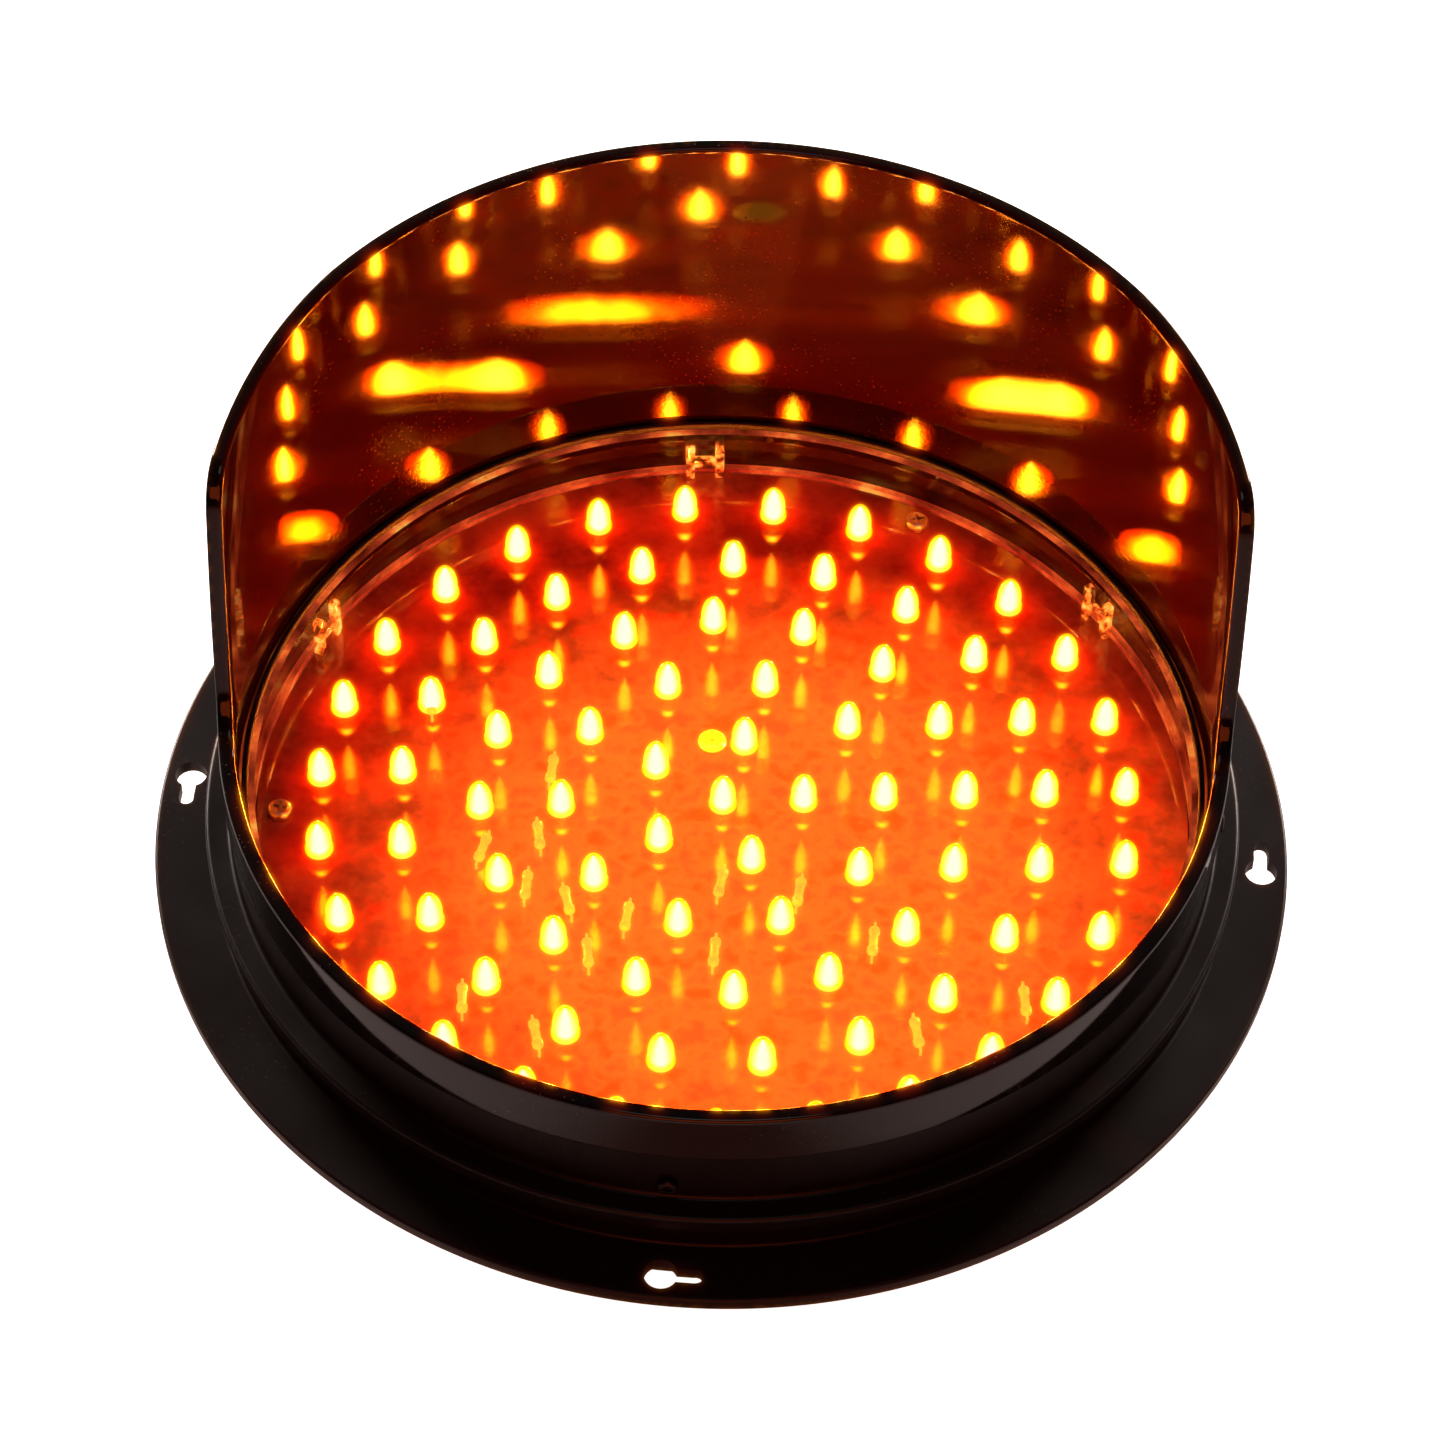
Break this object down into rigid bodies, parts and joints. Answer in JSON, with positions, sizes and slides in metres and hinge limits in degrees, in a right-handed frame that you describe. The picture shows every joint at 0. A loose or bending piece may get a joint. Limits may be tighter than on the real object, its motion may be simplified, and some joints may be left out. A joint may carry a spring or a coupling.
{
  "type": "traffic signal head",
  "caption": "Round flange-mounted LED traffic signal head: domed LEDs behind a clear lens, a glossy cutaway visor that twists off, a keyhole flange and a screwed rear cover.",
  "frame": {"origin": "on the optical axis, at the flat back of the rear cover, which is the bottom centre of the bounding box", "axes": "+Z along the optical axis, out of the lens; +Y towards the crown of the visor, which is up when the head is installed; +X completes the right hand"},
  "size_m": [0.25, 0.25, 0.1377],
  "materials": {
    "housing_black": "black glass-filled polycarbonate, satin moulded finish with faint flow texture",
    "visor_black": "black polycarbonate, polished inside and out so that it mirrors the lit LEDs",
    "cover_black": "black polycarbonate, fine spark texture",
    "clear_lens": "clear UV-stable polycarbonate, polished",
    "clear_clip": "clear moulded polycarbonate",
    "seal_rubber": "black silicone or EPDM rubber",
    "screw_steel": "stainless steel",
    "screw_black": "black oxide steel",
    "led_board": "glass-epoxy circuit board under glossy solder mask, with lit amber domed LEDs",
    "led_amber": "clear amber epoxy LED, lit: near-white core and yellow-orange rim",
    "resistor_tan": "lacquered axial resistor with tinned leads",
    "driver_board": "glass-epoxy circuit board, green solder mask",
    "brass": "turned brass",
    "terminal_green": "green nylon",
    "coil_wrap": "yellow winding tape",
    "component_black": "black epoxy moulding or ferrite",
    "capacitor_sleeve": "dark blue heat-shrunk sleeve",
    "varistor_blue": "dipped blue epoxy",
    "fuse_glass": "glass tube with plated ends",
    "connector_white": "off-white nylon",
    "wire_red": "red PVC insulation",
    "wire_black": "black PVC insulation",
    "gland_black": "black nylon"
  },
  "bodies": {
    "head": {"bridge_rectifier": "component_black", "centre_standoff": "brass", "driver_board": "driver_board", "driver_board_screw_1": "screw_steel", "driver_board_screw_2": "screw_steel", "driver_board_screw_3": "screw_steel", "driver_board_screw_4": "screw_steel", "fuse": "fuse_glass", "gland_body": "gland_black", "gland_locknut": "gland_black", "gland_nut": "gland_black", "gland_seal": "seal_rubber", "housing": "housing_black", "lead_black": "wire_black", "lead_red": "wire_red", "led_board": "led_board", "led_board_centre_screw": "screw_steel", "led_board_connector": "connector_white", "led_board_screw_1": "screw_steel", "led_board_screw_2": "screw_steel", "led_board_screw_3": "screw_steel", "lens": "clear_lens", "lens_clip_1": "clear_clip", "lens_clip_2": "clear_clip", "lens_clip_3": "clear_clip", "lens_clip_4": "clear_clip", "lens_clip_5": "clear_clip", "lens_clip_6": "clear_clip", "lens_screw_1": "screw_black", "lens_screw_2": "screw_black", "lens_screw_3": "screw_black", "lens_screw_4": "screw_black", "lens_seal": "seal_rubber", "output_connector": "connector_white", "panel_gasket": "seal_rubber", "rear_cover": "cover_black", "rear_cover_gasket": "seal_rubber", "rear_cover_screw_1": "screw_steel", "rear_cover_screw_2": "screw_steel", "rear_cover_screw_3": "screw_steel", "rear_cover_screw_4": "screw_steel", "rear_cover_screw_5": "screw_steel", "rear_cover_screw_6": "screw_steel", "smoothing_capacitor_1": "capacitor_sleeve", "smoothing_capacitor_2": "capacitor_sleeve", "terminal_block": "terminal_green", "transformer_core": "component_black", "transformer_winding": "coil_wrap", "varistor": "varistor_blue", "vent_plug": "gland_black"},
    "visor": {"visor": "visor_black"}
  },
  "joints": [
    {"name": "visor_twist", "type": "hinge", "parent": "head", "child": "visor", "pos_m": [0, 0, 0.062], "axis": [0, 0, 1], "range_deg": [0, 14]}
  ]
}
